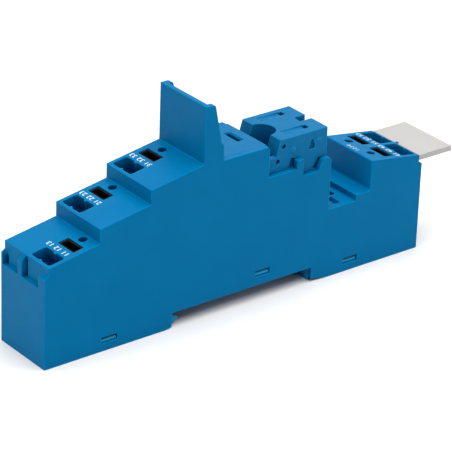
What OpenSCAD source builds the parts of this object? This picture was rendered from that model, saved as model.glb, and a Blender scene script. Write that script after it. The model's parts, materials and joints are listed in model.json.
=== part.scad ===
// Relay socket for a 35 mm rail: three stepped push-in terminals on one side,
// a lower pair on the other, and the relay bay between them.
// Lengths run along X from the left end, widths along Y, heights along Z.

/* [Housing] */
// Width of the housing
body_w = 15.8; // [15:0.2:20]
// Thickness of the two side walls
side_wall = 1.2; // [1:0.1:1.5]
// Thickness of the end walls and of the step risers
end_wall = 1.4; // [1.2:0.1:1.8]
// Thickness of the roof over the terminals
roof = 1.6; // [1.4:0.1:2]
// Thickness of the wall between the two rows of terminals
mid_wall = 1.6; // [1.2:0.1:2.4]
// Depth of the recessed band at the top of each end
end_inset = 0.9; // [0.6:0.1:1.1]
// Play between mouldings that are pushed together
fit_gap = 0.1; // [0.05:0.05:0.2]

/* [Terminal steps] */
// Length of each of the two lower steps
step_l = 12.65; // [12.4:0.05:16]
// Length of the top step, up to the partition
top_step_l = 13.5; // [13:0.1:17]
// Height of the first step at its outer edge
first_face_z = 22.9; // [21:0.1:30]
// Height of the riser between two steps
riser = 3.25; // [2:0.05:6]
// Rise of each step towards the relay, in degrees
tilt = 9.6; // [5:0.2:12]
// Height of the recessed band at the left end
band_h = 2.35; // [2:0.05:3.2]

/* [Partition and relay bay] */
// Height of the partition above the top step
partition_h = 12.9; // [8:0.1:20]
// Thickness of the partition
partition_t = 1.1; // [0.9:0.1:1.5]
// Length of the partition's side ears at the top
ear_top = 2.5; // [1.8:0.1:4]
// Length of the partition's side ears at the deck
ear_foot = 5.1; // [4.9:0.1:6]
// Length from the partition to the end of the contact deck
deck_l = 17.6; // [17.2:0.1:24]
// Drop from the end of the top step to the deck
deck_drop = 0.3; // [0:0.1:1]
// Length of the gap between the deck and the coil block
gap_l = 3.6; // [3:0.1:6]
// Length of the coil block
coil_block_l = 12.8; // [12.4:0.1:16]
// Depth of the contact carrier below the deck
carrier_h = 9.6; // [9:0.1:12]
// Radius of the finger notch in the coil block
notch_r = 3.1; // [2.5:0.1:3.4]

/* [Valley and right block] */
// Length of the valley that takes the plug-in module
valley_l = 11.7; // [10.8:0.1:16]
// Height of the valley floor
valley_z = 16.5; // [15.5:0.1:18]
// Height of the ledge above the valley floor
ledge_h = 1.4; // [0.8:0.1:2]
// Length of the ledge
ledge_l = 3.9; // [2:0.1:4.5]
// Length of the right block's top
right_l = 13.9; // [13.7:0.1:18]
// Height of the right block at its inner edge
right_face_z = 25.1; // [24.5:0.1:30]
// Fall of the right block's top towards the end, in degrees
right_tilt = 8.6; // [4:0.1:10]

/* [Terminals] */
// Distance from a step's edge to its wire entry
wire_from_edge = 0.75; // [0.7:0.05:1]
// Length of the double wire entry
wire_l = 3.85; // [3.2:0.05:4]
// Distance from a step's edge to its release button
button_from_edge = 7.05; // [6.8:0.05:7.3]
// Length of the release button's pocket
pocket_l = 2.7; // [2.2:0.1:2.8]
// Distance from a step's edge to its probe hole
probe_from_edge = 11.4; // [11.3:0.05:11.5]
// Radius of the probe hole
probe_r = 1.0; // [0.8:0.05:1.05]
// How much nearer the edge the button and probe hole are in the right block
right_shift = 0.6; // [0.4:0.1:0.8]
// Travel of a release button
button_travel = 1.5; // [1:0.1:1.6]
// Play round a release button
button_play = 0.12; // [0.08:0.01:0.2]

/* [Metal parts] */
// Thickness of the busbars
bar_t = 0.8; // [0.6:0.1:1]
// Width of the busbars
bar_w = 3.8; // [3:0.1:4.4]
// Thickness of the clamp springs
spring_t = 0.4; // [0.3:0.05:0.5]
// Thickness of the fork contacts
fork_t = 0.4; // [0.3:0.05:0.5]
// Distance between the first two blade contacts under the deck
first_pitch = 6.3; // [5.6:0.1:6.5]
// Distance between the last two blade contacts under the deck
last_pitch = 4.7; // [4.3:0.1:4.8]
// Width of the relay's blades
blade_w = 4.8; // [4:0.1:5]
// Distance between the two coil contacts
coil_pitch = 8.15; // [7.7:0.05:8.4]

/* [Rail seat] */
// Height of the seat that the rail's lips press on
seat_z = 3.6; // [3.4:0.1:4.5]
// Distance from the left end to the rail recess
recess_x = 32.4; // [31:0.1:34]
// Length of the rail recess in the side walls
recess_l = 37.7; // [37.2:0.1:39]
// Thickness of the rail's lips
rail_t = 1.0; // [1:0.1:1.5]
// Travel of the sliding clip
clip_travel = 3; // [2:0.1:3.2]
// Thickness of the base cover
base_t = 1.4; // [1.2:0.1:1.6]

/* [Marker tag] */
// Length of the tag beyond the housing
tag_l = 9.5; // [6:0.1:15]
// Thickness of the tag
tag_t = 1.2; // [0.8:0.1:1.6]

/* [Hidden] */
$fn = 32;
eps = 0.01;

// Places along X
partition_x = end_inset + 2 * step_l + top_step_l;
deck_end = partition_x + deck_l;
block_x = deck_end + gap_l;
block_end = block_x + coil_block_l;
valley_x = block_end + 0.4;
right_x = valley_x + valley_l;
right_end = right_x + right_l;
body_l = right_end + end_inset;
ledge_x = right_x - ledge_l;
recess_end = recess_x + recess_l;
overall_l = body_l - end_inset + tag_l;

// Places along Z
function face_x(i) = end_inset + i * step_l;
function face_z(i) = first_face_z + i * (step_l * tan(tilt) + riser);
top_step_end_z = face_z(2) + top_step_l * tan(tilt);
partition_top = top_step_end_z + partition_h;
deck_z = top_step_end_z - deck_drop;
carrier_z = deck_z - carrier_h;
band_z = first_face_z - band_h;
right_edge_z = right_face_z - right_l * tan(right_tilt);
right_band_z = right_edge_z - 2.2;
tab_z = carrier_z - 1.5;

// Places along Y
inner_w = body_w - 2 * side_wall;
chamber_w = (inner_w - mid_wall) / 2;
term_y = side_wall + chamber_w / 2;
entry_w = chamber_w + 0.7;
pocket_w = chamber_w - 0.3;
row_y = body_w / 2 + 0.7;
coil_row_y = body_w / 2 - 0.25;

// Terminals 0 to 2 are on the steps and 3 and 4 on the right block.
// Each has its own axes: u along its face from the outer edge, w down into the housing.
TERMS = [0, 1, 2, 3, 4];
function on_step(k) = k < 3;
function dir(k) = on_step(k) ? 1 : -1;
function slope(k) = on_step(k) ? tilt : right_tilt;
function shift(k) = on_step(k) ? 0 : -right_shift;
function origin(k) = on_step(k) ? [face_x(k), face_z(k)] : [right_end, right_edge_z];
function side_y(k) = (k == 0 || k == 3) ? term_y : body_w - term_y;
function at(k, u, w) = origin(k) + [dir(k) * (u * cos(slope(k)) + w * sin(slope(k))),
    u * sin(slope(k)) - w * cos(slope(k))];
function all_at(k, points) = [for (p = points) at(k, p[0], p[1])];

// Clamp geometry, in a terminal's own axes
funnel_d = 5;
throat_d = 3.4;
probe_d = 3.4;
leg_u = 1.3;
leg_top = funnel_d + 0.15;
leg_bottom = 12.4;
loop_r = 1.2;
loop_u = 10.5;
loop_w = 6.0;
tongue_angle = 34;
heel_w = 8.4;
tongue_tip_u = leg_u + bar_t / 2 + 0.3 + spring_t / 2 * sin(tongue_angle);
support_u = loop_u + loop_r + spring_t / 2 + 0.2;
flange_w = roof + 0.25;
flange_t = 0.85;
driver_pocket_d = 2;
function strip_z(k) = at(k, leg_u, leg_bottom)[1];

// Blade contacts, left to right from the partition; terminal k feeds contact k
function blade_x(k) = deck_end - 3.4 - (k > 0 ? first_pitch : 0) - (k > 1 ? last_pitch : 0);
coil_x = block_x + 5.95;
coil_slot_l = 6.9;
coil_fork_l = 5.8;
function coil_y(k) = coil_row_y + (k == 3 ? -1 : 1) * coil_pitch / 2;
module_x = valley_x + 3.5;
module_slot_w = 3.2;
function module_y(k) = k == 3 ? side_wall + 0.3 + module_slot_w / 2 : body_w - side_wall - 0.3 - module_slot_w / 2;

// ---- helpers ----

// Extrudes a side view, drawn in X and Z, from y0 to y1
module slab(y0, y1) {
    translate([0, y1, 0]) rotate([90, 0, 0]) linear_extrude(y1 - y0) children();
}

module box(x0, x1, y0, y1, z0, z1) {
    translate([x0, y0, z0]) cube([x1 - x0, y1 - y0, z1 - z0]);
}

// Puts children drawn in a terminal's own axes, with Z out of the face, in its place
module in_terminal(k) {
    translate([origin(k)[0], side_y(k), origin(k)[1]])
        mirror([on_step(k) ? 0 : 1, 0, 0]) rotate([0, -slope(k), 0]) children();
}

// Everything is drawn from the left end and moved to the middle of the whole length
module placed() {
    translate([-overall_l / 2, -body_w / 2, 0]) children();
}

module mirrored_y() {
    children();
    translate([0, body_w, 0]) mirror([0, 1, 0]) children();
}

module rounded_rect(l, w, r) {
    polygon([for (c = [[1, 1, 0], [-1, 1, 90], [-1, -1, 180], [1, -1, 270]]) for (a = [0:22.5:90])
        [c[0] * (l / 2 - r) + r * cos(c[2] + a), c[1] * (w / 2 - r) + r * sin(c[2] + a)]]);
}

function arc(cx, cz, r, a0, a1, n = 5) =
    [for (i = [0:n]) let (a = a0 + (a1 - a0) * i / n) [cx + r * cos(a), cz + r * sin(a)]];

// Outline of a bent strip of thickness t along a path
function normal(a, b) = let (d = (b - a) / norm(b - a)) [-d[1], d[0]];
function joint_normal(p, i) =
    i == 0 ? normal(p[0], p[1]) :
    i == len(p) - 1 ? normal(p[i - 1], p[i]) :
    let (n1 = normal(p[i - 1], p[i]), m = n1 + normal(p[i], p[i + 1])) m / (m * n1);
function ribbon(p, t) = concat(
    [for (i = [0:len(p) - 1]) p[i] + joint_normal(p, i) * t / 2],
    [for (i = [len(p) - 1:-1:0]) p[i] - joint_normal(p, i) * t / 2]);

// ---- housing ----

// The stepped top, from the left end to the partition
function step_points() = concat(
    [[0, band_z], [end_inset, band_z + band_drop]],
    [for (i = [0:1]) each [[face_x(i), face_z(i)], [face_x(i + 1), face_z(i) + step_l * tan(tilt)]]],
    [[face_x(2), face_z(2)], [partition_x, top_step_end_z]]);

// The right block's top and end, down to its band
function right_points() = concat(
    arc(right_x - ledge_fillet, valley_z + ledge_h + ledge_fillet, ledge_fillet, -90, 0),
    arc(right_x + edge_r, right_face_z - 1.15 * edge_r, edge_r, 180, 90 - right_tilt),
    arc(right_end - corner_r, right_edge_z - 0.85 * corner_r, corner_r, 90 - right_tilt, 0),
    [[right_end, right_band_z + band_drop], [body_l, right_band_z]]);

ear_r = 0.7;
ear_jog = 0.5;
ear_jog_z = deck_z + 3.9;
ear_jog_x = partition_x + ear_foot - 0.25;
rim_r = 0.7;
corner_r = 0.6;
edge_r = 0.3;
band_drop = 0.55;
ledge_fillet = 0.6;
notch_floor = deck_z - 7.2;
tab_top = deck_z - 5.25;
low_notch_floor = deck_z - 9.2;
end_tab_top = deck_z - 6.6;
tab_x0 = block_x + 3.85;
tab_x1 = block_x + 5.5;

module side_outline() {
    polygon(concat(
        [[0, 0]],
        step_points(),
        [[partition_x, partition_top]],
        arc(partition_x + ear_top - ear_r, partition_top - ear_r, ear_r, 90, 12),
        [[ear_jog_x - ear_jog, ear_jog_z + 0.15], [ear_jog_x, ear_jog_z - 0.2]],
        [[partition_x + ear_foot, deck_z]],
        arc(deck_end - 0.3 - rim_r, deck_z - rim_r, rim_r, 90, 0),
        [[deck_end - 0.3, notch_floor], [tab_x0, notch_floor]],
        [[tab_x0, tab_top], [tab_x1, tab_top]],
        [[tab_x1, low_notch_floor], [valley_x - 3.4, low_notch_floor]],
        arc(valley_x - 1.7, end_tab_top - 0.8, 0.8, 160, 90),
        arc(valley_x - 0.9, end_tab_top - 0.9, 0.9, 90, 0),
        [[valley_x, valley_z], [ledge_x, valley_z], [ledge_x, valley_z + ledge_h]],
        right_points(),
        [[body_l, 0], [recess_end + 4.3, 0], [recess_end, 0.9], [recess_end, seat_z]],
        [[recess_x, seat_z], [recess_x - 0.2, 0.35], [recess_x - 2, 0]]));
}

foot_wall_x = recess_x - end_wall;
cavity_floor = base_t + 0.2;
clip_room_z = base_t + 2.2;
recess_floor = seat_z + base_t + 0.2;

module left_core() {
    polygon(concat(
        [[0, 0]],
        step_points(),
        [[partition_x, partition_top], [partition_x + partition_t, partition_top]],
        [[partition_x + partition_t, carrier_z], [partition_x + partition_t + 0.8, carrier_z]],
        [[partition_x + partition_t + 0.8, carrier_z - 0.6], [partition_x + partition_t, carrier_z - 1.4]],
        [[partition_x + partition_t, recess_floor], [foot_wall_x - fit_gap, recess_floor]],
        [[foot_wall_x - fit_gap, cavity_floor], [end_wall, cavity_floor], [end_wall, 0]]));
}

module right_core() {
    polygon(concat(
        [[valley_x - 1.2, clip_room_z], [valley_x - 1.2, carrier_z], [valley_x, carrier_z]],
        [[valley_x, valley_z], [ledge_x, valley_z], [ledge_x, valley_z + ledge_h]],
        right_points(),
        [[body_l, 0], [body_l - end_wall, 0], [body_l - end_wall, clip_room_z]]));
}

// Space under the steps, one on each side of the middle wall
module left_cavity() {
    polygon(concat(
        [[end_wall, -1], [end_wall, tray_z(band_z) - 1], [end_inset + end_wall, tray_z(band_z) - 1]],
        [for (i = [0:2]) each [
            [face_x(i) + end_wall, face_z(i) + end_wall * tan(tilt) - roof / cos(tilt)],
            [i < 2 ? face_x(i + 1) + end_wall : partition_x,
                face_z(i) + ((i < 2 ? step_l + end_wall : top_step_l)) * tan(tilt) - roof / cos(tilt)]]],
        [[partition_x, -1]]));
}

module right_cavity() {
    polygon([[right_x + end_wall, -1],
        [right_x + end_wall, right_face_z - end_wall * tan(right_tilt) - roof / cos(right_tilt)],
        [right_end - end_wall, right_edge_z + end_wall * tan(right_tilt) - roof / cos(right_tilt)],
        [right_end - end_wall, tray_z(right_band_z) - 1], [body_l - end_wall, tray_z(right_band_z) - 1],
        [body_l - end_wall, -1]]);
}

// Walls of a terminal's chamber: the block round the wire entry, the wall behind
// the busbar's leg, the wall behind the spring and the tube of the probe hole
module chamber_walls(k) {
    y0 = side_y(k) - chamber_w / 2 - eps;
    y1 = side_y(k) + chamber_w / 2 + eps;
    su = support_u + shift(k);
    slab(y0, y1) polygon(all_at(k, [[0, 1], [5.6, 1], [5.6, funnel_d], [0, funnel_d]]));
    slab(y0, y1) polygon(all_at(k, [[-0.3, 3.4], [leg_u - bar_t / 2 - 0.2, 3.4],
        [leg_u - bar_t / 2 - 0.2, leg_bottom - 1], [-0.3, leg_bottom - 1]]));
    pu = probe_from_edge + shift(k) + probe_r + 0.1;
    slab(y0, y1) polygon(all_at(k, [[pu, 1], [su + 1, 1], [su + 1, leg_bottom - 1], [su, leg_bottom - 1],
        [su, loop_w + 0.5], [pu, loop_w - 0.2]]));
    in_terminal(k) translate([probe_from_edge + shift(k), 0, -probe_d]) cylinder(r = probe_r + 0.5, h = probe_d - 0.8);
}

// What is cut through a terminal's face: a double wire entry with a waist and a
// tapered throat, the button's pocket and the probe hole
module face_cuts(k) {
    in_terminal(k) {
        entry_u = wire_from_edge + shift(k) / 4 + wire_l / 2;
        translate([entry_u, 0, -throat_d - 0.1]) linear_extrude(throat_d + 1) difference() {
            rounded_rect(wire_l, entry_w, 0.6);
            for (s = [-1, 1]) translate([s * wire_l / 2, 0]) circle(r = 0.4, $fn = 16);
        }
        intersection() {
            translate([entry_u, 10, 0]) rotate([90, 0, 0]) linear_extrude(20)
                polygon([[-wire_l / 2 + 0.1, -throat_d], [wire_l / 2 - 0.1, -throat_d],
                    [wire_l / 2 - 0.5, -funnel_d - 0.1], [-wire_l / 2 + 0.5, -funnel_d - 0.1]]);
            translate([entry_u - 10, 0, 0]) rotate([90, 0, 90]) linear_extrude(20)
                polygon([[-entry_w / 2 + 0.15, -throat_d], [entry_w / 2 - 0.15, -throat_d],
                    [chamber_w / 2 - 0.4, -funnel_d - 0.1], [-chamber_w / 2 + 0.4, -funnel_d - 0.1]]);
        }
        translate([button_from_edge + shift(k) + pocket_l / 2, 0, -roof - 0.5])
            linear_extrude(3) rounded_rect(pocket_l, pocket_w, 0.25);
        translate([probe_from_edge + shift(k), 0, -probe_d - eps]) cylinder(r = probe_r, h = probe_d + 2);
    }
}

// Windows for the cover's latches: [left edge, lower edge]
LATCHES = [[14.15, 1.85], [deck_end - 3.0, seat_z + 2.1], [block_end + 5.3, 1.85]];
latch_l = 4.1;
latch_h = 1.4;

// Two sockets for a marker tag in an end face, drawn for the left end: each is a tray
// as deep as the band, [front side, rear side], with a slot at its rear side
TRAYS = [[body_w / 2 + 1.8, body_w - 0.4], [2.4, body_w / 2 + 0.5]];
slot_w = 1.1;
function tray_z(band) = band - 2.65;
module tag_sockets(band, tops) {
    for (i = [0, 1]) {
        y = TRAYS[i][1];
        box(-1, end_inset, TRAYS[i][0], y, tray_z(band), band + band_drop + eps);
        translate([end_inset - 0.1, y - slot_w / 2, 0]) rotate([90, 0, 90]) linear_extrude(1.4)
            polygon([[-slot_w / 2, tray_z(band)], [slot_w / 2, tray_z(band)], [slot_w / 2, tops[i] - 0.7],
                [slot_w / 5, tops[i]], [-slot_w / 5, tops[i]], [-slot_w / 2, tops[i] - 0.7]]);
    }
}

// Rib between the two trays of the left end
module tray_rib() {
    slab(TRAYS[1][1], TRAYS[0][0])
        polygon([[0, band_z - 0.1], [0, band_z + 0.8], [end_inset + eps, band_z + 1.8],
            [end_inset + eps, band_z - 0.1]]);
}

module bar_slot(k, x0, x1) {
    box(x0, x1, side_y(k) - bar_w / 2 - 0.15, side_y(k) + bar_w / 2 + 0.15,
        strip_z(k) - bar_t / 2 - 0.15, strip_z(k) + bar_t / 2 + 0.15);
}

module housing() {
    color("#0a77b3") placed() difference() {
        union() {
            difference() {
                union() {
                    slab(0, side_wall) side_outline();
                    slab(body_w - side_wall, body_w) side_outline();
                    slab(side_wall - eps, body_w - side_wall + eps) left_core();
                    slab(side_wall - eps, body_w - side_wall + eps) right_core();
                }
                mirrored_y() slab(side_wall, side_wall + chamber_w) {
                    left_cavity();
                    right_cavity();
                }
                box(valley_x, right_x + end_wall, side_wall, body_w - side_wall, -1, valley_z - 1.5);
            }
            for (k = TERMS) chamber_walls(k);
            peg();
            tray_rib();
        }
        for (k = TERMS) face_cuts(k);
        for (l = LATCHES) box(l[0], l[0] + latch_l, -1, body_w + 1, l[1], l[1] + latch_h);
        tag_sockets(band_z, [band_z - 0.2, first_face_z - 0.3]);
        translate([body_l, 0, 0]) mirror([1, 0, 0])
            tag_sockets(right_band_z, [right_band_z - 0.2, right_edge_z - 1.4]);
        for (k = [0:2]) bar_slot(k, partition_x - 1, partition_x + partition_t + 0.1);
        for (k = [3, 4]) bar_slot(k, valley_x - 1.3, valley_x + 0.1);
        for (k = [3, 4]) {
            translate([module_x, module_y(k), valley_z - 2]) linear_extrude(3)
                rounded_rect(1.2, module_slot_w, 0.2);
            slab(module_y(k) - module_slot_w / 2, module_y(k) + module_slot_w / 2)
                polygon([[module_x, valley_z - 0.8], [module_x + 0.7, valley_z - 0.8],
                    [module_x + 1.2, valley_z + 0.1], [module_x, valley_z + 0.1]]);
        }
        translate([module_x + 2.1, body_w / 2 - 1.4, valley_z - 2]) linear_extrude(3)
            rounded_rect(1.3, 2.4, 0.3);
        clip_doorway();
    }
}

// Small peg that holds the marker tag's edge
peg_y = body_w / 2;
module peg() {
    box(right_end - 0.6, right_end + 0.5, peg_y - 0.3, peg_y + 0.3, right_edge_z - 1, right_edge_z + 0.05);
}

// ---- contact block ----

carrier_x0 = partition_x + partition_t + fit_gap;
carrier_y0 = side_wall + fit_gap;
carrier_y1 = body_w - side_wall - fit_gap;
shoulder_z = deck_z - 3.65;
gap_floor = deck_z - 6.6;
cell_l = 2.6;
cell_w = blade_w + 0.6;
coil_cell_w = 2.8;
blade_slot_l = 1.2;
lead_in = 0.4;

module carrier_outline() {
    polygon([[carrier_x0, carrier_z], [carrier_x0, deck_z], [deck_end - 0.4, deck_z],
        [deck_end, deck_z - 0.4], [deck_end, shoulder_z], [block_x - 1.1, shoulder_z],
        [block_x, deck_z + 0.05], [block_end, deck_z + 0.05], [block_end, carrier_z]]);
}

// Small marks of the moulding on the coil block's side, drawn on the front side:
// two core-pin holes, and three pockets that taper upwards
module side_marks() {
    depth = carrier_y0 + 0.6;
    for (p = [[0.95, -1.65], [-0.6, -4.85]])
        translate([block_x + p[0], depth, deck_z + p[1]]) rotate([90, 0, 0]) cylinder(r = 0.55, h = depth);
    slab(-1, depth) {
        translate([block_x + 8.6, deck_z - 4.1])
            polygon([[-0.9, 0.2], [-0.5, 0], [0.7, 0], [0.95, 0.3], [0.4, 2.2], [0.1, 2.3], [-0.2, 2.1]]);
        translate([block_x + 3.4, deck_z - 7.1]) polygon([[-1.2, 0], [1.2, 0], [0.5, 2.2], [-0.4, 2.3]]);
        translate([block_x + 9.6, deck_z - 8.9]) polygon([[-0.7, 0], [0.7, 0], [1.9, 2.4], [0.9, 2.4]]);
    }
}

module side_bumps() {
    for (p = [[3.4, -3.0], [10.5, -2.5]])
        translate([block_x + p[0], carrier_y0 + eps, deck_z + p[1]]) rotate([90, 0, 0])
            cylinder(r1 = 0.65, r2 = 0.4, h = 0.3);
}

// Slot for a contact blade, with a lead-in all round
module deck_slot(k) {
    half_l = blade_slot_l / 2;
    half_w = blade_w / 2;
    translate([blade_x(k), row_y, deck_z - 3]) linear_extrude(4) square([2 * half_l, 2 * half_w], center = true);
    intersection() {
        translate([blade_x(k), 0, deck_z]) slab(0, body_w)
            polygon([[-half_l, -lead_in], [half_l, -lead_in], [half_l + lead_in + 0.1, 0.1],
                [-half_l - lead_in - 0.1, 0.1]]);
        translate([0, row_y, deck_z]) rotate([90, 0, 90]) linear_extrude(body_l)
            polygon([[-half_w, -lead_in], [half_w, -lead_in], [half_w + lead_in / 2 + 0.1, 0.1],
                [-half_w - lead_in / 2 - 0.1, 0.1]]);
    }
}

// Slot for a coil blade: a slit beside a strip that slopes down to a hole at its far end
module coil_slot(k) {
    y = coil_y(k);
    x0 = coil_x - coil_slot_l / 2;
    x1 = coil_x + coil_slot_l / 2;
    box(x0, x1, y - 0.25, y + 0.2, carrier_z - 1, deck_z + 1);
    box(x1 - 0.9, x1, y - 0.25, y + 1.3, deck_z - 1.2, deck_z + 1);
    slab(y, y + 1.45) polygon([[x0, deck_z - 0.08], [x1 - 0.8, deck_z - 0.3], [x1 - 0.8, deck_z + 1],
        [x0, deck_z + 1]]);
}

module contact_block() {
    color("#2b83ba") placed() difference() {
        union() {
            slab(carrier_y0, carrier_y1) carrier_outline();
            mirrored_y() side_bumps();
        }
        // gap and finger notch
        box(deck_end, block_x - 1.1, carrier_y0 + 1.2, carrier_y1 - 1.2, gap_floor, deck_z + 1);
        translate([block_x, body_w / 2, gap_floor]) cylinder(r = notch_r, h = 10, $fn = 64);
        // notch in the far end
        box(block_end - 3.1, block_end + 1, body_w / 2 - 1.1, body_w / 2 + 1.1, deck_z - 3, deck_z + 1);
        // cells of the blade contacts
        for (k = [0:2]) {
            box(blade_x(k) - cell_l / 2, blade_x(k) + cell_l / 2, row_y - cell_w / 2, row_y + cell_w / 2,
                carrier_z - 1, deck_z - roof);
            deck_slot(k);
        }
        // cells of the coil contacts
        for (k = [3, 4]) {
            box(coil_x - coil_fork_l / 2 - 0.3, coil_x + coil_fork_l / 2 + 0.3,
                coil_y(k) - coil_cell_w / 2, coil_y(k) + coil_cell_w / 2, carrier_z - 1, deck_z - roof);
            coil_slot(k);
        }
        mirrored_y() side_marks();
    }
}

// ---- base cover and rail clip ----

cover_x0 = end_wall + fit_gap;
cover_x1 = body_l - end_wall - fit_gap;
cover_y0 = side_wall + fit_gap;
cover_y1 = body_w - side_wall - fit_gap;
hook_l = 2.4;
hook_z = seat_z - rail_t - 0.3;
clip_w = 7;
clip_z0 = 0.3;
flange_y = 0.7;
clip_nose = 3.7;
clip_x1 = body_l - clip_travel;
cross_wall_x = valley_x - 1.2;

module cover_outline() {
    polygon([[cover_x0, 0], [cover_x0, base_t], [foot_wall_x, base_t], [foot_wall_x, seat_z + base_t],
        [recess_end + end_wall, seat_z + base_t], [recess_end + end_wall, base_t], [cover_x1, base_t],
        [cover_x1, 0], [recess_end, 0], [recess_end, seat_z], [recess_x, seat_z],
        [recess_x, hook_z + 0.5], [recess_x + 1.0, hook_z], [recess_x + hook_l, hook_z - 0.7],
        [recess_x + hook_l, hook_z - 1.0], [recess_x + 1.3, 0.5], [recess_x + 0.8, 0.1],
        [recess_x - 1.5, 0]]);
}

// A latch on its upstand, drawn on the front side
module latch(l) {
    floor_z = l[1] > seat_z ? seat_z : 0;
    box(l[0] - 0.5, l[0] + latch_l + 0.5, cover_y0, cover_y0 + 1, floor_z, l[1] + latch_h + 0.8);
    translate([l[0] + 0.12, 0, 0]) rotate([90, 0, 90]) linear_extrude(latch_l - 0.24)
        polygon([[cover_y0 + eps, l[1] + 0.1], [0.35, l[1] + 0.1], [0.35, l[1] + 0.5],
            [cover_y0 + eps, l[1] + latch_h - 0.1]]);
}

module base_cover() {
    color("#0a6ea8") placed() difference() {
        union() {
            slab(cover_y0, cover_y1) cover_outline();
            mirrored_y() for (l = LATCHES) latch(l);
            // rails that hold the clip down
            mirrored_y() box(recess_end + end_wall - eps, recess_end + 9, cover_y0 + 1,
                body_w / 2 - clip_w / 2 + 0.5, base_t + 1.1, base_t + 2);
            mirrored_y() box(recess_end + end_wall - eps, recess_end + 9, cover_y0 + 1,
                body_w / 2 - clip_w / 2 - flange_y - 0.15, base_t - eps, base_t + 1.2);
            // stop pin in the clip's long slot
            translate([recess_end + 12, body_w / 2, 0]) cylinder(r = 1.2, h = base_t + 1.6);
            box(recess_end + 11, recess_end + 13, cover_y0, cover_y1, base_t + 1.1, base_t + 2);
            mirrored_y() box(recess_end + 11, recess_end + 13, cover_y0,
                body_w / 2 - clip_w / 2 - flange_y - 0.15, base_t - eps, base_t + 1.2);
        }
        // way for the clip through the floor and the foot's wall
        difference() {
            box(recess_end - 1, cover_x1 + 1, body_w / 2 - clip_w / 2 - 0.15, body_w / 2 + clip_w / 2 + 0.15,
                -1, base_t + eps);
            translate([recess_end + 12, body_w / 2, -2]) cylinder(r = 1.2, h = 10);
        }
        box(recess_end - 1, recess_end + end_wall + 0.1, body_w / 2 - clip_w / 2 - flange_y - 0.15,
            body_w / 2 + clip_w / 2 + flange_y + 0.15, base_t - eps, max(base_t + 1.1, hook_z + 0.2));
    }
}

module clip_outline() {
    polygon([[recess_end - clip_nose, hook_z - 0.4], [recess_end - clip_nose + 0.5, hook_z],
        [recess_end + 1, hook_z], [recess_end + 1, base_t + 0.95], [clip_x1, base_t + 0.95],
        [clip_x1, clip_z0], [recess_end - 1.2, clip_z0]]);
}

module rail_clip() {
    color("#0a6ea8") placed() difference() {
        union() {
            slab(body_w / 2 - clip_w / 2, body_w / 2 + clip_w / 2) clip_outline();
            box(recess_end + 3.5, clip_x1 - 4, body_w / 2 - clip_w / 2 - flange_y,
                body_w / 2 + clip_w / 2 + flange_y, base_t + 0.15, base_t + 0.95);
        }
        // long slot round the stop pin
        translate([recess_end + 12 - clip_travel / 2, body_w / 2, -1]) linear_extrude(10)
            rounded_rect(2 * 1.2 + clip_travel + 0.4, 2 * 1.2 + 0.4, 1.35);
        // two cuts that leave the sides springy, and the slot for a screwdriver
        mirrored_y() box(recess_end + 16, recess_end + 23, body_w / 2 - 2.6, body_w / 2 - 1.5, -1, 10);
        box(clip_x1 - 2.6, clip_x1 - 1.4, body_w / 2 - 2, body_w / 2 + 2, -1, 10);
    }
}

// Doorway in the right end wall for a screwdriver on the clip
module clip_doorway() {
    box(body_l - end_wall - 1, body_l + 1, body_w / 2 - clip_w / 2 - 0.3, body_w / 2 + clip_w / 2 + 0.3,
        -1, base_t + 1.3);
}

// ---- terminal parts ----

module release_button(k) {
    u0 = button_from_edge + shift(k) + button_play;
    u1 = button_from_edge + shift(k) + pocket_l - button_play;
    half = pocket_w / 2 - button_play;
    top = 0.2;
    color("#141414") placed() difference() {
        union() {
            slab(side_y(k) - half, side_y(k) + half)
                polygon(all_at(k, [[u0, top], [u1, top], [u1, flange_w + flange_t], [u0 + 1.3, 3.75],
                    [u0 + 0.1, 4.5], [u0, 4.4]]));
            // lip under the roof that keeps the button in
            slab(side_y(k) - half, side_y(k) + half)
                polygon(all_at(k, [[u0 - 0.6, flange_w], [u0 + 0.5, flange_w],
                    [u0 + 0.5, flange_w + flange_t], [u0 - 0.6, flange_w + flange_t]]));
        }
        in_terminal(k) translate([(u0 + u1) / 2, 0, -top - driver_pocket_d]) linear_extrude(5)
            rounded_rect(u1 - u0 - 0.7, 2 * half - 0.8, 0.25);
    }
}

module clamp_spring(k) {
    s = shift(k);
    leave = 90 + tongue_angle;
    loop = [for (a = [0:leave / 8:leave + eps]) [loop_u + s + loop_r * cos(a), loop_w - loop_r * sin(a)]];
    last = loop[len(loop) - 1];
    reach = (last[0] - tongue_tip_u) / cos(tongue_angle);
    tip = last + reach * [-cos(tongue_angle), sin(tongue_angle)];
    path = concat([[loop_u + s + loop_r, heel_w]], loop, [tip]);
    color("#c3c7cb") placed() slab(side_y(k) - chamber_w / 2 + 0.35, side_y(k) + chamber_w / 2 - 0.35)
        polygon(ribbon([for (p = path) at(k, p[0], p[1])], spring_t));
}

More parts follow.
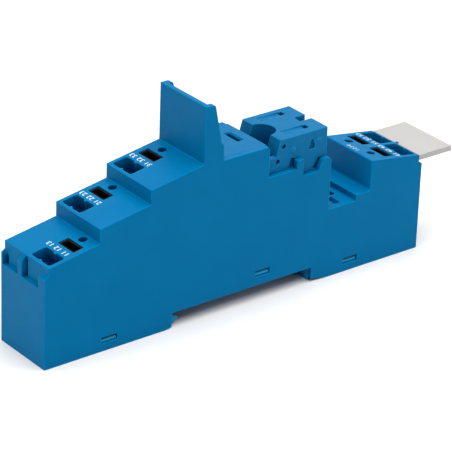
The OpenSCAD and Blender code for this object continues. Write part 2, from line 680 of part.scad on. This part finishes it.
// A busbar: a leg beside the wire, a strip along the housing, a riser and a seat for its fork
module busbar(k) {
    z = strip_z(k);
    to_x = on_step(k) ? blade_x(k) + 0.9 : coil_x + coil_fork_l / 2 - bar_t / 2;
    fork_y = on_step(k) ? row_y : coil_y(k);
    seat_x = on_step(k) ? blade_x(k) - 1 : coil_x - coil_fork_l / 2;
    seat_half = on_step(k) ? fork_w / 2 : 1;
    corner = at(k, leg_u, leg_bottom);
    y0 = side_y(k) - bar_w / 2;
    y1 = side_y(k) + bar_w / 2;
    color("#c9974a") placed() {
        slab(y0, y1) polygon(ribbon([at(k, leg_u, leg_top), at(k, leg_u, leg_bottom - 0.6),
            [corner[0] + dir(k) * 0.5, z], [to_x, z]], bar_t));
        box(to_x - (on_step(k) ? 1.9 : bar_t / 2), to_x + bar_t / 2, min(y0, fork_y - seat_half),
            max(y1, fork_y + seat_half), z - bar_t / 2, z + bar_t / 2);
        box(to_x - bar_t / 2, to_x + bar_t / 2, fork_y - seat_half, fork_y + seat_half, z - bar_t / 2, tab_z);
        box(seat_x, to_x + bar_t / 2, fork_y - seat_half, fork_y + seat_half, tab_z - bar_t, tab_z);
    }
}

// Side view of a fork whose foot stands at height 0 and whose mouth ends at height h
module fork_outline(h, gape = 0.8) {
    polygon(ribbon([[-gape - 0.1, h], [-0.42, h - 1.5], [-gape, h * 0.45], [-gape, fork_t / 2],
        [gape, fork_t / 2], [gape, h * 0.45], [0.42, h - 1.5], [gape + 0.1, h]], fork_t));
}

fork_h = deck_z - roof - 0.3 - tab_z;
fork_w = 3.8;

module blade_contact(k) {
    color("#d8d0c0") placed() translate([blade_x(k), 0, tab_z])
        slab(row_y - fork_w / 2, row_y + fork_w / 2) fork_outline(fork_h);
}

module coil_contact(k) {
    color("#d8d0c0") placed() translate([coil_x - coil_fork_l / 2, coil_y(k), tab_z])
        rotate([90, 0, 90]) linear_extrude(coil_fork_l) fork_outline(fork_h);
}

module module_contact(k) {
    foot_z = strip_z(k) + bar_t / 2;
    color("#d8d0c0") placed() translate([module_x, 0, foot_z])
        slab(module_y(k) - 1.3, module_y(k) + 1.3) fork_outline(valley_z - 1.8 - foot_z, 0.7);
}

// ---- marker tag ----

module marker_tag() {
    x0 = right_end + 0.06;
    z1 = right_edge_z - 0.15;
    z0 = z1 - tag_t;
    color("#dad8d5") placed() difference() {
        union() {
            box(x0, right_end + tag_l, 0.05, body_w - 0.05, z0, z1);
            // prongs in the sockets, each with a toe in its slot
            for (tray = TRAYS) {
                y0 = tray[1] - slot_w + 0.1;
                y1 = tray[1] - 0.1;
                box(x0, body_l - 0.1, y0, y1, tray_z(right_band_z) + 0.2, z0 + eps);
                box(right_end - 1.1, x0 + eps, y0, y1, tray_z(right_band_z) + 0.3, right_band_z - 1);
            }
        }
        box(x0 - 1, right_end + 0.6, peg_y - 0.4, peg_y + 0.4, z0 - eps, z1 + 1);
    }
}

housing();
contact_block();
base_cover();
rail_clip();
marker_tag();
release_button(0);  // release_button_1
release_button(1);  // release_button_2
release_button(2);  // release_button_3
release_button(3);  // release_button_4
release_button(4);  // release_button_5
clamp_spring(0);  // clamp_spring_1
clamp_spring(1);  // clamp_spring_2
clamp_spring(2);  // clamp_spring_3
clamp_spring(3);  // clamp_spring_4
clamp_spring(4);  // clamp_spring_5
busbar(0);  // busbar_1
busbar(1);  // busbar_2
busbar(2);  // busbar_3
busbar(3);  // busbar_4
busbar(4);  // busbar_5
blade_contact(0);  // blade_contact_1
blade_contact(1);  // blade_contact_2
blade_contact(2);  // blade_contact_3
coil_contact(3);  // coil_contact_4
coil_contact(4);  // coil_contact_5
module_contact(3);  // module_contact_4
module_contact(4);  // module_contact_5
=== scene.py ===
"""Relay socket: finishes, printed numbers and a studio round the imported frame."""

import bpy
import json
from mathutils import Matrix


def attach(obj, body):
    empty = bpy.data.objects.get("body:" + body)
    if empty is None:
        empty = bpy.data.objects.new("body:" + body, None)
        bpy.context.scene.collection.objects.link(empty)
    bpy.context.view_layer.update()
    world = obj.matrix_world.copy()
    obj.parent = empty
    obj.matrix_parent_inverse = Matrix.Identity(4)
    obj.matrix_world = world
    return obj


bl_info = {
    "name": "Relay Socket",
    "version": (1, 0, 0),
    "blender": (4, 5, 0),
    "location": "View3D > Sidebar > Relay Socket",
    "description": "Finishes and stages a slim relay socket for a 35 mm rail",
    "category": "Object",
}

import json
import math

import bpy
from bpy.props import FloatProperty, PointerProperty, StringProperty
from mathutils import Matrix, Vector

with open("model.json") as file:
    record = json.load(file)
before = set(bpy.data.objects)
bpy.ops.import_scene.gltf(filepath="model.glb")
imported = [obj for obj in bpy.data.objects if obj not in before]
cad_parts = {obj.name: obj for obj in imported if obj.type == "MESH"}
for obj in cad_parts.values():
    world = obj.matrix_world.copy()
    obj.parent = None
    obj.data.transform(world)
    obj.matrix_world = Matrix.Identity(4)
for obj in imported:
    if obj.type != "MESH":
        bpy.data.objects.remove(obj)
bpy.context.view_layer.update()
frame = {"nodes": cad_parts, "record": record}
MOUNTS = {mount["name"]: mount for mount in frame["record"]["mounts"]}
MM = 0.001
ROOT_BODY = "socket"

# a mix node's sockets when it mixes colours: its factor, its two colours and its result
FACTOR, FIRST, SECOND, RESULT = 0, 6, 7, 2
# how many rays a bevel node and the occlusion node of the painted shade cast at each point
EDGE_RAYS = 6
PAINTED_SHADE_RAYS = 8
# walls within this distance of a point can darken it with painted shade, as part of a hollow
PAINTED_SHADE_REACH = 8 * MM

# from the middle of a wire entry to the middle of its row of numbers, on a step and on the block
ROW_ON_STEP = 3.13 * MM
ROW_ON_BLOCK = 2.83 * MM
# how much nearer the middle of the socket the first row stands than its terminal
FIRST_ROW_SHIFT = 0.85 * MM
# the short row at the right block's inner edge: how far from the wire entries, and how long
INNER_ROW = 10.1 * MM
INNER_ROW_LENGTH = 3.3 * MM
# the built-in font's digits are this share of its size high
DIGIT_SHARE = 0.72
# how far the ink spreads round a digit, as a share of the digit's height
INK_SPREAD = 0.005

# the background paper's width, and how far it lies below the socket
PAPER_SIZE = 12
PAPER_DROP = 0.02 * MM
# the point that the lights face
LIGHTS_AIM = Vector((0, 0, 0.02))
# the camera's azimuth, elevation and roll in degrees, its place in metres, and its lens and the
# width of its sensor in millimetres
VIEW_ANGLES = (-38.66, 26.12, 2.14)
CAMERA_PLACE = Vector((-0.32683, -0.40555, 0.26995))
CAMERA_LENS = 215.44
CAMERA_SENSOR = 36


# ---- sizes and colours ----


class RelaySocketSizes(bpy.types.PropertyGroup):
    """Sizes of the moulded edges and of the print, in metres."""

    # the bevel radii also set how wide the painted highlight along the edges of the blue parts and the
    # buttons is
    edge_radius: FloatProperty(
        name="Edge radius",
        description="Radius that the mould gives to the edges of the blue parts and the tag",
        default=0.34 * MM,
        min=0.0,
        unit="LENGTH",
    )
    button_edge_radius: FloatProperty(
        name="Button edge radius",
        description="Radius that the mould gives to the edges of the release buttons",
        default=0.08 * MM,
        min=0.0,
        unit="LENGTH",
    )
    digit_height: FloatProperty(
        name="Digit height",
        description="Height of the printed terminal numbers",
        default=1.15 * MM,
        min=0.5 * MM,
        unit="LENGTH",
    )
    ink_thickness: FloatProperty(
        name="Ink thickness",
        description="How far the printed ink stands above the face",
        default=0.02 * MM,
        min=0.005 * MM,
        unit="LENGTH",
    )
    print_length: FloatProperty(
        name="Print length",
        description="Length of one row of printed numbers",
        default=6.9 * MM,
        min=2.0 * MM,
        unit="LENGTH",
    )


class RelaySocketColours(bpy.types.PropertyGroup):
    """Colours as sRGB hex values."""

    housing_blue: StringProperty(
        name="Housing", description="Blue polyamide of the housing", default="#006494"
    )
    # slightly greyer than the housing blue: painted sheen, standing in for the sheen on the insert's
    # flat tops
    block_blue: StringProperty(
        name="Contact block", description="Blue polyamide of the insert", default="#0D6391"
    )
    cover_blue: StringProperty(
        name="Cover", description="Blue polyamide of the cover and clip", default="#2784AA"
    )
    # painted shade: the dark blue mixed into the holes, where shade falls
    painted_hollow_shade_blue: StringProperty(
        name="Hollows", description="Blue deep inside the holes", default="#00326E"
    )
    blue_gloss: StringProperty(
        name="Blue gloss", description="Reflections in the blue polyamide", default="#00CBFF"
    )
    button_black: StringProperty(
        name="Buttons", description="Black polyamide of the buttons", default="#16181A"
    )
    black_gloss: StringProperty(
        name="Black gloss", description="Reflections in the black polyamide", default="#FFFFFF"
    )
    tag_white: StringProperty(
        name="Marker tag", description="Pale polycarbonate of the tag", default="#A3A19F"
    )
    ink_white: StringProperty(
        name="Ink", description="White pad-printing ink", default="#C4D6E2"
    )
    steel_dark: StringProperty(
        name="Steel, darker", description="Darker clouds in the springs' steel", default="#B4B6B8"
    )
    steel_light: StringProperty(
        name="Steel, lighter", description="Lighter clouds in the springs' steel", default="#CFD1D2"
    )
    tin_dark: StringProperty(
        name="Tin, darker", description="Darker clouds in the tin plating", default="#C6C3BA"
    )
    tin_light: StringProperty(
        name="Tin, lighter", description="Lighter clouds in the tin plating", default="#DAD8D0"
    )
    paper_dark: StringProperty(
        name="Paper, darker", description="Darker clouds in the background paper", default="#DFDFDF"
    )
    paper_light: StringProperty(
        name="Paper, lighter", description="Lighter clouds in the background paper", default="#E2E2E2"
    )


def hex_to_linear(text):
    """An sRGB hex value as linear red, green and blue with full alpha."""
    channels = [int(text[i : i + 2], 16) / 255 for i in (1, 3, 5)]
    linear = [c / 12.92 if c <= 0.04045 else ((c + 0.055) / 1.055) ** 2.4 for c in channels]
    return (*linear, 1.0)


def sizes():
    return bpy.context.scene.relay_socket_sizes


def colour(name):
    """One of the socket's colours, in linear light."""
    return hex_to_linear(getattr(bpy.context.scene.relay_socket_colours, name))


def shade(linear, factor):
    """A linear colour made lighter or darker."""
    return tuple(min(c * factor, 1.0) for c in linear[:3]) + (1.0,)


# ---- materials ----


def add_node(tree, kind, inputs=None, stops=(), **settings):
    """Adds a shader node. inputs maps a socket to a value or to the socket that feeds it, and stops
    are the positions and colours of a colour ramp."""
    node = tree.nodes.new(kind)
    for name, value in settings.items():
        setattr(node, name, value)
    for element, (position, linear) in enumerate(stops):
        node.color_ramp.elements[element].position = position
        node.color_ramp.elements[element].color = linear
    for socket, value in (inputs or {}).items():
        if isinstance(value, bpy.types.NodeSocket):
            tree.links.new(value, node.inputs[socket])
        else:
            node.inputs[socket].default_value = value
    return node


def new_material(name):
    """An empty node material, its tree, and the object coordinates that its patterns read."""
    material = bpy.data.materials.new(name)
    material.use_nodes = True
    tree = material.node_tree
    tree.nodes.clear()
    place = add_node(tree, "ShaderNodeTexCoord").outputs["Object"]
    return material, tree, place


def painted_hollow_shade(tree):
    """Mask for painted shade: 0 on open faces and in plain corners, and up to 1 where a hole lets
    hardly any light in.
    """
    open_sky = add_node(
        tree, "ShaderNodeAmbientOcclusion", {"Distance": PAINTED_SHADE_REACH}, samples=PAINTED_SHADE_RAYS
    ).outputs["AO"]
    return add_node(
        tree,
        "ShaderNodeMapRange",
        {"Value": open_sky, "From Min": 0.1, "From Max": 0.5, "To Min": 1.0, "To Max": 0.0},
    ).outputs["Result"]


def painted_edge_highlight(tree, rounded):
    """Mask for a painted highlight: 0 on flat faces and more along the rounded edges, which are painted
    paler as if they caught the light.
    """
    flat = add_node(tree, "ShaderNodeNewGeometry").outputs["True Normal"]
    turned = add_node(
        tree, "ShaderNodeVectorMath", {0: rounded, 1: flat}, operation="DOT_PRODUCT"
    ).outputs["Value"]
    return add_node(
        tree,
        "ShaderNodeMapRange",
        {"Value": turned, "From Min": 1.0, "From Max": 0.9, "To Min": 0.0, "To Max": 0.8},
    ).outputs["Result"]


def polyamide(name, body, hollow_shade, gloss, roughness, edge_radius):
    """Injection-moulded polyamide 6.6 from a spark-eroded mould: an even satin surface with a fine
    grain, faint flow clouds in its colour, edges rounded by the mould with a painted highlight along
    them, and painted shade in the hollows. hollow_shade is the colour of that painted shade, gloss
    that of the reflections, and roughness a range."""
    material, tree, place = new_material(name)
    clouds = add_node(
        tree, "ShaderNodeTexNoise", {"Vector": place, "Scale": 1 / (9 * MM), "Detail": 3.0}
    ).outputs["Fac"]
    clouded = add_node(
        tree,
        "ShaderNodeValToRGB",
        {"Fac": clouds},
        stops=((0.3, shade(body, 0.965)), (0.7, shade(body, 1.035))),
    ).outputs["Color"]
    rounded = add_node(
        tree, "ShaderNodeBevel", {"Radius": edge_radius}, samples=EDGE_RAYS
    ).outputs["Normal"]
    # painted highlight: the rounded edges are mixed towards a far paler blue
    edge_highlighted = add_node(
        tree,
        "ShaderNodeMix",
        {FACTOR: painted_edge_highlight(tree, rounded), FIRST: clouded, SECOND: shade(body, 1.8)},
        data_type="RGBA",
    ).outputs[RESULT]
    # painted shade: the hollows are mixed towards a dark blue
    hollow_shaded = add_node(
        tree,
        "ShaderNodeMix",
        {FACTOR: painted_hollow_shade(tree), FIRST: edge_highlighted, SECOND: hollow_shade},
        data_type="RGBA",
    ).outputs[RESULT]
    sheen = add_node(
        tree, "ShaderNodeTexNoise", {"Vector": place, "Scale": 1 / (3.5 * MM)}
    ).outputs["Fac"]
    low, high = roughness
    dull = add_node(
        tree,
        "ShaderNodeMapRange",
        {"Value": sheen, "From Min": 0.3, "From Max": 0.7, "To Min": low, "To Max": high},
    ).outputs["Result"]
    # the mould's real grain is too fine to show, so it is drawn coarser
    grain = add_node(
        tree, "ShaderNodeTexNoise", {"Vector": place, "Scale": 1 / (0.28 * MM)}
    ).outputs["Fac"]
    grained = add_node(
        tree,
        "ShaderNodeBump",
        {"Height": grain, "Strength": 0.16, "Distance": 0.03 * MM, "Normal": rounded},
    ).outputs["Normal"]
    shader = add_node(
        tree,
        "ShaderNodeBsdfPrincipled",
        {
            "Base Color": hollow_shaded,
            "Roughness": dull,
            "Normal": grained,
            "IOR": 1.53,
            "Specular IOR Level": 0.05,
            "Specular Tint": gloss,
        },
    )
    add_node(tree, "ShaderNodeOutputMaterial", {"Surface": shader.outputs["BSDF"]})
    return material


def polycarbonate_tag(name, body, edge_radius):
    """Matt moulded polycarbonate, made to be written on: pale, faintly warm and finely grained."""
    material, tree, place = new_material(name)
    clouds = add_node(
        tree, "ShaderNodeTexNoise", {"Vector": place, "Scale": 1 / (6 * MM)}
    ).outputs["Fac"]
    clouded = add_node(
        tree,
        "ShaderNodeValToRGB",
        {"Fac": clouds},
        stops=((0.3, shade(body, 0.97)), (0.7, shade(body, 1.02))),
    ).outputs["Color"]
    rounded = add_node(
        tree, "ShaderNodeBevel", {"Radius": edge_radius}, samples=EDGE_RAYS
    ).outputs["Normal"]
    # the mould's real grain is too fine to show, so it is drawn coarser
    grain = add_node(
        tree, "ShaderNodeTexNoise", {"Vector": place, "Scale": 1 / (0.2 * MM)}
    ).outputs["Fac"]
    grained = add_node(
        tree,
        "ShaderNodeBump",
        {"Height": grain, "Strength": 0.12, "Distance": 0.02 * MM, "Normal": rounded},
    ).outputs["Normal"]
    shader = add_node(
        tree,
        "ShaderNodeBsdfPrincipled",
        {"Base Color": clouded, "Roughness": 0.55, "Normal": grained, "IOR": 1.58},
    )
    add_node(tree, "ShaderNodeOutputMaterial", {"Surface": shader.outputs["BSDF"]})
    return material


def stamped_metal(name, dark, light, roughness, line_width):
    """Sheet metal, rolled and then stamped and bent: bright, faintly clouded, with fine rolling
    lines that run along the socket."""
    material, tree, place = new_material(name)
    clouds = add_node(
        tree, "ShaderNodeTexNoise", {"Vector": place, "Scale": 1 / (2 * MM)}
    ).outputs["Fac"]
    clouded = add_node(
        tree, "ShaderNodeValToRGB", {"Fac": clouds}, stops=((0.3, dark), (0.7, light))
    ).outputs["Color"]
    # the rolling lines are drawn wider than real ones, which are too fine to show
    along = add_node(
        tree, "ShaderNodeMapping", {"Vector": place, "Scale": (0.08, 1.0, 1.0)}
    ).outputs["Vector"]
    lines = add_node(
        tree, "ShaderNodeTexNoise", {"Vector": along, "Scale": 1 / line_width, "Detail": 3.0}
    ).outputs["Fac"]
    low, high = roughness * 0.8, roughness * 1.25
    dull = add_node(
        tree,
        "ShaderNodeMapRange",
        {"Value": lines, "From Min": 0.3, "From Max": 0.7, "To Min": low, "To Max": high},
    ).outputs["Result"]
    scored = add_node(
        tree, "ShaderNodeBump", {"Height": lines, "Strength": 0.1, "Distance": 0.01 * MM}
    ).outputs["Normal"]
    shader = add_node(
        tree,
        "ShaderNodeBsdfPrincipled",
        {"Base Color": clouded, "Metallic": 1.0, "Roughness": dull, "Normal": scored},
    )
    add_node(tree, "ShaderNodeOutputMaterial", {"Surface": shader.outputs["BSDF"]})
    return material


def pad_print_ink(name, body):
    """White two-part pad-printing ink: thin, opaque and dull, with a slightly patchy cover."""
    material, tree, place = new_material(name)
    patches = add_node(
        tree, "ShaderNodeTexNoise", {"Vector": place, "Scale": 1 / (0.35 * MM), "Detail": 3.0}
    ).outputs["Fac"]
    patchy = add_node(
        tree,
        "ShaderNodeValToRGB",
        {"Fac": patches},
        stops=((0.25, shade(body, 0.86)), (0.55, body)),
    ).outputs["Color"]
    film = add_node(
        tree, "ShaderNodeBump", {"Height": patches, "Strength": 0.2, "Distance": 0.01 * MM}
    ).outputs["Normal"]
    shader = add_node(
        tree,
        "ShaderNodeBsdfPrincipled",
        {"Base Color": patchy, "Roughness": 0.5, "Normal": film},
    )
    add_node(tree, "ShaderNodeOutputMaterial", {"Surface": shader.outputs["BSDF"]})
    return material


def studio_paper(name, dark, light):
    """Matt white background paper: all but even, with the faintest fibre clouds."""
    material, tree, place = new_material(name)
    fibres = add_node(
        tree, "ShaderNodeTexNoise", {"Vector": place, "Scale": 1 / (12 * MM), "Detail": 4.0}
    ).outputs["Fac"]
    clouded = add_node(
        tree, "ShaderNodeValToRGB", {"Fac": fibres}, stops=((0.3, dark), (0.7, light))
    ).outputs["Color"]
    shader = add_node(
        tree, "ShaderNodeBsdfPrincipled", {"Base Color": clouded, "Roughness": 0.9}
    )
    add_node(tree, "ShaderNodeOutputMaterial", {"Surface": shader.outputs["BSDF"]})
    return material


def paint(material, prefixes):
    """Gives a material to every CAD node whose name starts with one of the prefixes."""
    for name, node in frame["nodes"].items():
        if name.startswith(prefixes):
            node.data.materials.clear()
            node.data.materials.append(material)


# ---- modelling helpers ----


def deselect_all():
    if bpy.context.mode != "OBJECT":
        bpy.ops.object.mode_set(mode="OBJECT")
    bpy.ops.object.select_all(action="DESELECT")


def settle(piece, name, matrix, material, body):
    """Puts a piece in its place, applies that place to its mesh, and parents it to its body's empty."""
    piece.name = name
    piece.data.name = name
    piece.matrix_world = matrix
    deselect_all()
    piece.select_set(True)
    bpy.context.view_layer.objects.active = piece
    bpy.ops.object.transform_apply(location=True, rotation=True, scale=True)
    piece.data.materials.clear()
    piece.data.materials.append(material)
    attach(piece, body)


def face_frame(terminal):
    """A terminal's face: (middle of its wire entry, direction from there to the probe hole, normal)."""
    entry = MOUNTS[f"wire_entry_{terminal}"]
    probe = MOUNTS[f"probe_hole_{terminal}"]
    normal = Vector(entry["axis"]).normalized()
    along = Vector(probe["pos_m"]) - Vector(entry["pos_m"])
    along -= normal * along.dot(normal)
    return Vector(entry["pos_m"]), along.normalized(), normal


def matrix_of(place, right, up, normal):
    """The matrix that stands a flat drawing, made in X and Y, on a face."""
    turn = Matrix((right, up, normal)).transposed().to_4x4()
    return Matrix.Translation(place) @ turn


def print_row(name, text, place, up, normal, length, ink):
    """One row of digits as a thin mesh, centred on a place and stretched to a length."""
    height = sizes().digit_height
    deselect_all()
    bpy.ops.object.text_add(location=(0, 0, 0))
    words = bpy.context.object
    words.data.body = text
    words.data.size = height / DIGIT_SHARE
    words.data.align_x = "CENTER"
    words.data.align_y = "CENTER"
    words.data.offset = INK_SPREAD * height
    words.data.extrude = sizes().ink_thickness
    words.data.resolution_u = 3
    bpy.ops.object.convert(target="MESH")
    row = bpy.context.object
    stretch = Matrix.Diagonal((length / row.dimensions.x, 1.0, 1.0, 1.0))
    on_face = matrix_of(place, up.cross(normal), up, normal)
    settle(row, name, on_face @ stretch, ink, ROOT_BODY)


# ---- operators ----


class RELAYSOCKET_OT_blue_mouldings(bpy.types.Operator):
    """Gives the housing, the contact block, the base cover and the rail clip their finishes"""

    bl_idname = "relay_socket.blue_mouldings"
    bl_label = "Finish Blue Mouldings"

    def execute(self, context):
        for part, nodes in (
            ("housing", ("housing",)),
            ("block", ("contact_block",)),
            ("cover", ("base_cover", "rail_clip")),
        ):
            finish = polyamide(
                f"blue_polyamide_{part}",
                colour(f"{part}_blue"),
                # the colour of the painted shade in the holes
                hollow_shade=colour("painted_hollow_shade_blue"),
                gloss=colour("blue_gloss"),
                roughness=(0.4, 0.5),
                edge_radius=sizes().edge_radius,
            )
            paint(finish, nodes)
        return {"FINISHED"}


class RELAYSOCKET_OT_release_buttons(bpy.types.Operator):
    """Gives the release buttons their black finish"""

    bl_idname = "relay_socket.release_buttons"
    bl_label = "Finish Release Buttons"

    def execute(self, context):
        black = colour("button_black")
        finish = polyamide(
            "black_polyamide_buttons",
            black,
            # a near-black painted shade in the buttons' holes
            hollow_shade=shade(black, 0.2),
            gloss=colour("black_gloss"),
            roughness=(0.5, 0.6),
            edge_radius=sizes().button_edge_radius,
        )
        paint(finish, ("release_button",))
        return {"FINISHED"}


class RELAYSOCKET_OT_marker_tag(bpy.types.Operator):
    """Gives the marker tag its pale matt finish"""

    bl_idname = "relay_socket.marker_tag"
    bl_label = "Finish Marker Tag"

    def execute(self, context):
        finish = polycarbonate_tag(
            "pale_polycarbonate_tag", colour("tag_white"), sizes().edge_radius
        )
        paint(finish, ("marker_tag",))
        return {"FINISHED"}


class RELAYSOCKET_OT_metal_parts(bpy.types.Operator):
    """Gives the springs, busbars and contacts their metal finishes"""

    bl_idname = "relay_socket.metal_parts"
    bl_label = "Finish Metal Parts"

    def execute(self, context):
        steel = stamped_metal(
            "stainless_spring_steel",
            colour("steel_dark"),
            colour("steel_light"),
            roughness=0.24,
            line_width=0.12 * MM,
        )
        tinned = stamped_metal(
            "tin_plated_copper",
            colour("tin_dark"),
            colour("tin_light"),
            roughness=0.34,
            line_width=0.2 * MM,
        )
        paint(steel, ("clamp_spring",))
        paint(tinned, ("busbar", "blade_contact", "coil_contact", "module_contact"))
        return {"FINISHED"}


class RELAYSOCKET_OT_terminal_numbers(bpy.types.Operator):
    """Prints plain numbers between each wire entry and its button, and at the block's inner edge"""

    bl_idname = "relay_socket.terminal_numbers"
    bl_label = "Print Terminal Numbers"

    def execute(self, context):
        ink = pad_print_ink("white_pad_print_ink", colour("ink_white"))
        for terminal in range(1, 6):
            entry, along, normal = face_frame(terminal)
            on_step = along.x > 0
            place = entry + along * (ROW_ON_STEP if on_step else ROW_ON_BLOCK)
            if terminal == 1:
                place.y += FIRST_ROW_SHIFT
            up = -along if on_step else along
            text = f"{terminal}1 {terminal}2 {terminal}3"
            print_row(f"numbers_{terminal}", text, place, up, normal, sizes().print_length, ink)
        # terminals 4 and 5 share the right block, and the short row is centred between them
        entry, along, normal = face_frame(5)
        middle = (face_frame(4)[0] + entry) / 2
        place = middle + along * INNER_ROW
        print_row("numbers_inner", "1 2 3 4", place, along, normal, INNER_ROW_LENGTH, ink)
        return {"FINISHED"}


class RELAYSOCKET_OT_stage(bpy.types.Operator):
    """Lays the paper, hangs the soft lights and sets up the camera"""

    bl_idname = "relay_socket.stage"
    bl_label = "Set Up Studio"

    def execute(self, context):
        self.lay_paper()
        self.hang_lights()
        self.set_camera()
        return {"FINISHED"}

    def lay_paper(self):
        deselect_all()
        bpy.ops.mesh.primitive_plane_add(size=PAPER_SIZE, location=(0, 0, -PAPER_DROP))
        paper = bpy.context.object
        paper.name = "paper"
        finish = studio_paper("matt_background_paper", colour("paper_dark"), colour("paper_light"))
        paper.data.materials.append(finish)

    def hang_lights(self):
        """An even glow, a top light that does most of the work, a fill light from the left that
        casts no reflections, and a light from behind, mostly for the sheen on the flat tops."""
        world = bpy.data.worlds.new("studio")
        world.use_nodes = True
        glow = world.node_tree.nodes["Background"]
        glow.inputs["Color"].default_value = (1, 1, 1, 1)
        glow.inputs["Strength"].default_value = 0.3
        bpy.context.scene.world = world
        self.soft_box("top_light", (0.02, -0.14, 0.9), size=1.2, power=18.0)
        self.soft_box("left_light", (-1.0, -0.25, 0.25), size=0.5, power=2.0, gloss=0.0)
        self.soft_box("back_light", (0.65, 0.8, 0.54), size=0.8, power=2.0, spread=0.1)

    def soft_box(self, name, place, size, power, spread=1.0, gloss=1.0):
        """A square soft light that faces the socket. spread is its share in the even light, and
        gloss its share in the reflections."""
        data = bpy.data.lights.new(name, "AREA")
        data.size = size
        data.energy = power
        data.diffuse_factor = spread
        data.specular_factor = gloss
        light = bpy.data.objects.new(name, data)
        bpy.context.scene.collection.objects.link(light)
        light.location = place
        light.rotation_euler = (LIGHTS_AIM - Vector(place)).to_track_quat("-Z", "Y").to_euler()

    def set_camera(self):
        azimuth, elevation, roll = (math.radians(angle) for angle in VIEW_ANGLES)
        level = Vector((math.cos(azimuth), math.sin(azimuth), 0))
        back = Vector(
            (
                math.sin(azimuth) * math.cos(elevation),
                -math.cos(azimuth) * math.cos(elevation),
                math.sin(elevation),
            )
        )
        above = back.cross(level)
        right = level * math.cos(roll) + above * math.sin(roll)
        up = back.cross(right)
        data = bpy.data.cameras.new("camera")
        data.sensor_width = CAMERA_SENSOR
        data.lens = CAMERA_LENS
        data.clip_start = 0.01
        data.clip_end = 50
        camera = bpy.data.objects.new("camera", data)
        bpy.context.scene.collection.objects.link(camera)
        camera.matrix_world = matrix_of(CAMERA_PLACE, right, up, back)
        bpy.context.scene.camera = camera


OPERATORS = (
    RELAYSOCKET_OT_blue_mouldings,
    RELAYSOCKET_OT_release_buttons,
    RELAYSOCKET_OT_marker_tag,
    RELAYSOCKET_OT_metal_parts,
    RELAYSOCKET_OT_terminal_numbers,
    RELAYSOCKET_OT_stage,
)


class RELAYSOCKET_PT_panel(bpy.types.Panel):
    """Lists the steps that finish the relay socket, and its sizes and colours"""

    bl_idname = "RELAYSOCKET_PT_panel"
    bl_label = "Relay Socket"
    bl_space_type = "VIEW_3D"
    bl_region_type = "UI"
    bl_category = "Relay Socket"

    def draw(self, context):
        for operator in OPERATORS:
            self.layout.operator(operator.bl_idname)
        for group in (context.scene.relay_socket_sizes, context.scene.relay_socket_colours):
            box = self.layout.box()
            for name in group.__annotations__:
                box.prop(group, name)


CLASSES = (RelaySocketSizes, RelaySocketColours, *OPERATORS, RELAYSOCKET_PT_panel)


def register():
    for cls in CLASSES:
        bpy.utils.register_class(cls)
    bpy.types.Scene.relay_socket_sizes = PointerProperty(type=RelaySocketSizes)
    bpy.types.Scene.relay_socket_colours = PointerProperty(type=RelaySocketColours)


def unregister():
    del bpy.types.Scene.relay_socket_colours
    del bpy.types.Scene.relay_socket_sizes
    for cls in reversed(CLASSES):
        bpy.utils.unregister_class(cls)


def main():
    register()
    bpy.context.scene.view_settings.view_transform = "Standard"
    bpy.ops.relay_socket.blue_mouldings()
    bpy.ops.relay_socket.release_buttons()
    bpy.ops.relay_socket.marker_tag()
    bpy.ops.relay_socket.metal_parts()
    bpy.ops.relay_socket.terminal_numbers()
    bpy.ops.relay_socket.stage()


if __name__ == "__main__":
    main()
